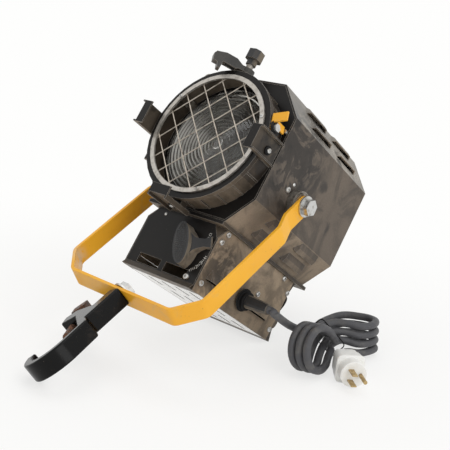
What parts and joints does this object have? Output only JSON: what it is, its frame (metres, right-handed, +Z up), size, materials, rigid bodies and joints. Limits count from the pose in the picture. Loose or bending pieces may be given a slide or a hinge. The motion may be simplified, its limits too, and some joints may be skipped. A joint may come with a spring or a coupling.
{
  "type": "theatre fresnel light",
  "caption": "Eight-sided theatre fresnel light with a hinged lens door, lamp focus drive, tilting yoke and pipe hook clamp, lying back on a floor with its cord in a hank.",
  "frame": {"origin": "on the floor, under the middle of the lamp, yoke and clamp without the cord", "axes": "+X along the yoke's pivot axis towards the cord side, +Y towards the lamp's back, -Y towards the pipe hook, +Z up"},
  "size_m": [0.3477, 0.4822, 0.3666],
  "materials": {
    "shell_paint": "satin, scuffed, with brown dust",
    "frame_paint": "satin",
    "box_paint": "satin, dusty",
    "yoke_paint": "satin enamel",
    "clamp_paint": "gloss",
    "zinc": "plated",
    "steel": "worn",
    "rusty": "rusted",
    "black_plastic": "fine grain",
    "glass": "clear",
    "mirror": "polished",
    "ceramic": "plain",
    "cord": "matt",
    "plug": "moulded",
    "brass": "plain"
  },
  "bodies": {
    "lamp_head": {"housing_shell": "shell_paint", "front_plate": "frame_paint", "rear_panel": "shell_paint", "base_rail": "frame_paint", "front_panel": "frame_paint", "rear_cover": "frame_paint", "side_panel_right": "box_paint", "side_panel_left": "box_paint", "bottom_plate": "box_paint", "terminal_block": "ceramic", "cable_gland": "black_plastic", "friction_disc_right": "steel", "friction_disc_left": "steel", "hinge_bracket": "frame_paint", "latch_keeper": "zinc", "hinge_pin": "zinc", "guide_rod_right": "steel", "guide_rod_left": "steel", "strain_relief": "black_plastic", "cord_lead": "cord", "cord_hank": "cord", "cord_tie": "black_plastic", "plug_body": "plug", "plug_blade_upper": "brass", "plug_blade_lower": "brass", "plug_ground": "brass"},
    "yoke": {"yoke_strap": "yoke_paint", "pivot_bolt_right": "zinc", "pivot_bolt_left": "zinc", "clamp_bolt": "zinc"},
    "pipe_clamp": {"hook_clamp": "clamp_paint"},
    "squeeze_screw": {"clamp_screw": "rusty"},
    "focus_drive": {"focus_shaft": "steel", "front_knob": "black_plastic", "rear_knob": "black_plastic"},
    "carriage": {"lamp_carriage": "steel", "lamp_socket": "ceramic", "lamp_bulb": "glass", "reflector": "mirror"},
    "lens_door": {"door_barrel": "frame_paint", "fresnel_lens": "glass", "lens_clip_1": "steel", "lens_clip_2": "steel", "lens_clip_3": "steel", "guard_ring": "zinc", "wire_guard": "zinc", "channel_right": "frame_paint", "channel_left": "frame_paint", "channel_bottom": "frame_paint", "latch_bolt": "zinc", "screw_post": "steel"},
    "latch_lever": {"door_latch": "yoke_paint"},
    "claw": {"top_claw": "frame_paint"},
    "thumb_screw": {"thumb_knob": "black_plastic"}
  },
  "joints": [
    {"name": "yoke_tilt", "type": "hinge", "parent": "lamp_head", "child": "yoke", "pos_m": [0, 0.06854, 0.19176], "axis": [1, 0, 0], "range_deg": [-200, 24]},
    {"name": "clamp_swivel", "type": "hinge", "parent": "yoke", "child": "pipe_clamp", "pos_m": [0, -0.11997, 0.08228], "axis": [0, 0.8647, 0.5022], "range_deg": [-180, 180]},
    {"name": "clamp_screw_travel", "type": "slide", "parent": "pipe_clamp", "child": "squeeze_screw", "axis": [-0.6005, 0.7972, 0.0621], "range_m": [-0.0135, 0.005]},
    {"name": "carriage_slide", "type": "slide", "parent": "lamp_head", "child": "carriage", "axis": [0, 0.842, -0.5395], "range_m": [-0.0345, 0.023]},
    {"name": "focus_turn", "type": "hinge", "parent": "lamp_head", "child": "focus_drive", "pos_m": [0.027, 0.01081, 0.10167], "axis": [0, 0.842, -0.5395], "range_deg": [-90, 60]},
    {"name": "lens_door_swing", "type": "hinge", "parent": "lamp_head", "child": "lens_door", "pos_m": [-0.098, -0.00155, 0.21768], "axis": [0, 0.5395, 0.842], "range_deg": [-110, 0]},
    {"name": "latch_turn", "type": "hinge", "parent": "lens_door", "child": "latch_lever", "pos_m": [0.08393, 0.01915, 0.28335], "axis": [0.9537, 0.1622, 0.2532], "range_deg": [0, 80]},
    {"name": "claw_swing", "type": "hinge", "parent": "lens_door", "child": "claw", "pos_m": [0, 0.0598, 0.33751], "axis": [0, 0.5395, 0.842], "range_deg": [0, 90]},
    {"name": "thumb_turn", "type": "hinge", "parent": "lens_door", "child": "thumb_screw", "pos_m": [0, 0.07167, 0.35604], "axis": [0, 0.5395, 0.842], "range_deg": [-180, 180]}
  ],
  "couplings": [
    {"joint": "focus_turn", "follows": "carriage_slide", "rad_per_m": 45.455}
  ]
}
